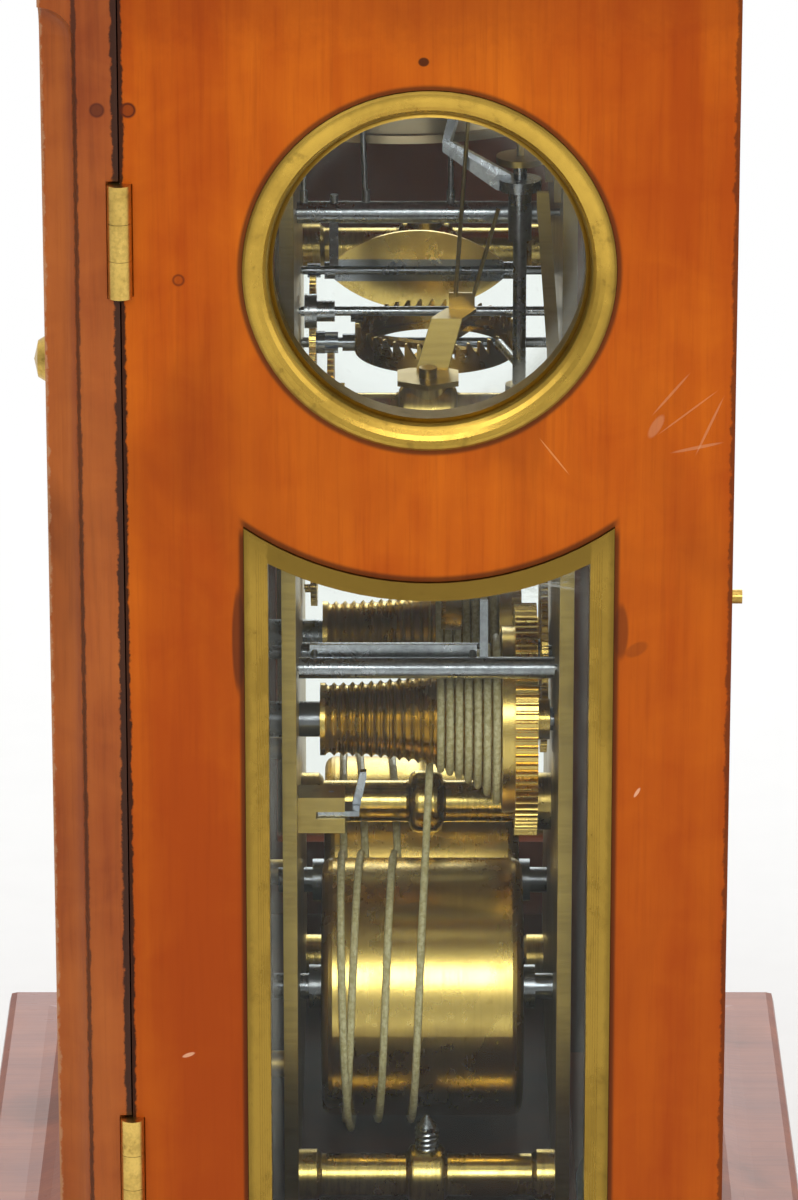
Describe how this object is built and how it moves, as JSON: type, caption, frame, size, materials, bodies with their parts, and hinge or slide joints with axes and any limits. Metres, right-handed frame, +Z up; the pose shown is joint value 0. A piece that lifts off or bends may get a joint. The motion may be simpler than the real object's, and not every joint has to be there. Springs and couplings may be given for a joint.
{
  "type": "bracket clock",
  "caption": "Bell-top bracket clock in a mahogany case with brass-framed side windows round a twin-fusee striking movement with a verge escapement and a short bob pendulum.",
  "frame": {"origin": "middle of the base's underside", "axes": "+Z up; the dial faces -Y; +X is the side with the door's hinges"},
  "size_m": [0.312, 0.2006, 0.5085],
  "materials": {
    "wood_side": "french polished mahogany, fine vertical grain",
    "wood_dark": "dark polished mahogany",
    "wood_door": "polished mahogany",
    "glass": "clear window glass",
    "brass_bright": "polished brass",
    "brass": "aged lacquered brass",
    "brass_wheel": "brushed brass",
    "steel": "polished steel",
    "blued_steel": "blued steel",
    "gut": "natural gut",
    "bell_metal": "turned bell metal",
    "dial_plate": "silvered brass, matt"
  },
  "bodies": {
    "case": {"base_moulding": "wood_dark", "right_side": "wood_side", "left_side": "wood_side", "top_board": "wood_door", "bell_top": "wood_door", "front_mask": "wood_dark", "handle_posts": "brass_bright", "case_hinge_leaves": "brass_bright", "back_hinges": "brass_bright", "round_bezels": "brass_bright", "round_glasses": "glass", "shaped_frames": "brass_bright", "shaped_glasses": "glass", "seatboard": "wood_dark", "seat_rails": "wood_dark", "seat_bolts": "steel", "front_plate": "brass", "back_plate": "brass", "lower_pillars": "brass", "upper_pillars": "brass", "centre_pillar": "brass", "going_gut": "gut", "strike_gut": "gut", "potence": "brass", "back_cock": "brass", "hammer_spring": "brass", "hammer_cock": "brass", "bell": "bell_metal", "bell_stand": "brass", "dial": "dial_plate"},
    "handle": {"handle_bail": "brass_bright"},
    "front_door": {"front_door": "wood_door", "door_glass": "glass", "door_hinge_leaves": "brass_bright"},
    "door_knob": {"door_knob": "brass_bright"},
    "back_door": {"back_door": "wood_dark", "back_glass": "glass"},
    "back_knob": {"back_knob": "brass_bright"},
    "centre_arbor": {"centre_wheel": "brass_wheel", "minute_hand": "blued_steel"},
    "minute_work": {"motion_wheel": "brass"},
    "hour_pipe": {"hour_wheel": "brass", "hour_hand": "blued_steel"},
    "going_fusee": {"going_fusee": "brass_wheel"},
    "going_barrel": {"going_barrel": "brass"},
    "contrate_arbor": {"contrate_wheel": "brass_wheel"},
    "crown_arbor": {"crown_wheel": "brass_wheel"},
    "pendulum": {"verge": "steel", "pendulum_rod": "steel"},
    "bob": {"pendulum_bob": "brass_wheel"},
    "hoop_arbor": {"hoop_wheel": "brass_wheel"},
    "pin_arbor": {"pin_wheel": "brass_wheel"},
    "strike_fusee": {"strike_fusee": "brass_wheel"},
    "strike_barrel": {"strike_barrel": "brass"},
    "warning_arbor": {"warning_wheel": "brass_wheel"},
    "fly_arbor": {"fly": "brass_wheel"},
    "hammer": {"hammer": "steel"},
    "lifting_arbor": {"lever_arbor": "steel"},
    "detent_arbor": {"detent_arbor": "steel"},
    "fusee_stop": {"stop_lever": "steel"}
  },
  "joints": [
    {"name": "handle_swing", "type": "hinge", "parent": "case", "child": "handle", "pos_m": [0, 0, 0.503], "axis": [1, 0, 0], "range_deg": [0, 200]},
    {"name": "front_door_hinge", "type": "hinge", "parent": "case", "child": "front_door", "pos_m": [0.1276, -0.0552, 0.2], "axis": [0, 0, 1], "range_deg": [0, 100]},
    {"name": "door_knob_turn", "type": "hinge", "parent": "front_door", "child": "door_knob", "pos_m": [-0.114, -0.07885, 0.24], "axis": [0, 1, 0], "range_deg": [0, 90]},
    {"name": "back_door_hinge", "type": "hinge", "parent": "case", "child": "back_door", "pos_m": [-0.1117, 0.06585, 0.2], "axis": [0, 0, 1], "range_deg": [0, 88]},
    {"name": "back_knob_turn", "type": "hinge", "parent": "back_door", "child": "back_knob", "pos_m": [0.105, 0.07215, 0.256], "axis": [0, 1, 0], "range_deg": [0, 90]},
    {"name": "centre_arbor_turn", "type": "hinge", "parent": "case", "child": "centre_arbor", "pos_m": [0, 0.00815, 0.20536], "axis": [0, 1, 0], "continuous": true},
    {"name": "minute_wheel_turn", "type": "hinge", "parent": "case", "child": "minute_work", "pos_m": [0, -0.03085, 0.18196], "axis": [0, 1, 0], "continuous": true},
    {"name": "hour_pipe_turn", "type": "hinge", "parent": "case", "child": "hour_pipe", "pos_m": [0, -0.03445, 0.20536], "axis": [0, 1, 0], "continuous": true},
    {"name": "going_fusee_turn", "type": "hinge", "parent": "case", "child": "going_fusee", "pos_m": [0.0275, 0.00815, 0.1993], "axis": [0, 1, 0], "continuous": true},
    {"name": "going_barrel_turn", "type": "hinge", "parent": "case", "child": "going_barrel", "pos_m": [0.0325, 0.00815, 0.1362], "axis": [0, 1, 0], "continuous": true},
    {"name": "contrate_turn", "type": "hinge", "parent": "case", "child": "contrate_arbor", "pos_m": [0, 0.00815, 0.23], "axis": [0, 1, 0], "continuous": true},
    {"name": "crown_turn", "type": "hinge", "parent": "case", "child": "crown_arbor", "pos_m": [0, 0.01005, 0.27], "axis": [0, 0, 1], "continuous": true},
    {"name": "pendulum_swing", "type": "hinge", "parent": "case", "child": "pendulum", "pos_m": [0, 0.00815, 0.287], "axis": [0, 1, 0], "range_deg": [-10, 10]},
    {"name": "bob_slide", "type": "slide", "parent": "pendulum", "child": "bob", "axis": [0, 0, 1], "range_m": [0, 0.006]},
    {"name": "hoop_turn", "type": "hinge", "parent": "case", "child": "hoop_arbor", "pos_m": [-0.0312, 0.00815, 0.24968], "axis": [0, 1, 0], "continuous": true},
    {"name": "pin_turn", "type": "hinge", "parent": "case", "child": "pin_arbor", "pos_m": [-0.03239, 0.00815, 0.22703], "axis": [0, 1, 0], "continuous": true},
    {"name": "strike_fusee_turn", "type": "hinge", "parent": "case", "child": "strike_fusee", "pos_m": [-0.0275, 0.00815, 0.1993], "axis": [0, 1, 0], "continuous": true},
    {"name": "strike_barrel_turn", "type": "hinge", "parent": "case", "child": "strike_barrel", "pos_m": [-0.0325, 0.00815, 0.1362], "axis": [0, 1, 0], "continuous": true},
    {"name": "warning_turn", "type": "hinge", "parent": "case", "child": "warning_arbor", "pos_m": [-0.02484, 0.00815, 0.27189], "axis": [0, 1, 0], "continuous": true},
    {"name": "fly_turn", "type": "hinge", "parent": "case", "child": "fly_arbor", "pos_m": [-0.02993, 0.00815, 0.28758], "axis": [0, 1, 0], "continuous": true},
    {"name": "hammer_swing", "type": "hinge", "parent": "case", "child": "hammer", "pos_m": [0.05, 0.02805, 0.31], "axis": [0, 0, 1], "range_deg": [-5, 8]},
    {"name": "lifting_arbor_swing", "type": "hinge", "parent": "case", "child": "lifting_arbor", "pos_m": [0.044, 0.00815, 0.3229], "axis": [0, 1, 0], "range_deg": [0, 5]},
    {"name": "detent_arbor_swing", "type": "hinge", "parent": "case", "child": "detent_arbor", "pos_m": [0.0515, 0.00815, 0.2204], "axis": [0, 1, 0], "range_deg": [0, 4]},
    {"name": "stop_lever_swing", "type": "hinge", "parent": "case", "child": "fusee_stop", "pos_m": [0.05, -0.01315, 0.1863], "axis": [0, 0, 1], "range_deg": [0, 6]}
  ],
  "couplings": [
    {"joint": "minute_wheel_turn", "follows": "centre_arbor_turn", "ratio": -1},
    {"joint": "hour_pipe_turn", "follows": "centre_arbor_turn", "ratio": 0.083333},
    {"joint": "going_fusee_turn", "follows": "centre_arbor_turn", "ratio": -0.1},
    {"joint": "going_barrel_turn", "follows": "centre_arbor_turn", "ratio": 0.035536},
    {"joint": "contrate_turn", "follows": "centre_arbor_turn", "ratio": -10},
    {"joint": "crown_turn", "follows": "centre_arbor_turn", "ratio": 97.5},
    {"joint": "pin_turn", "follows": "hoop_turn", "ratio": -0.125},
    {"joint": "strike_fusee_turn", "follows": "hoop_turn", "ratio": 0.0125},
    {"joint": "strike_barrel_turn", "follows": "hoop_turn", "ratio": -0.0044421},
    {"joint": "warning_turn", "follows": "hoop_turn", "ratio": -10},
    {"joint": "fly_turn", "follows": "hoop_turn", "ratio": 100}
  ]
}
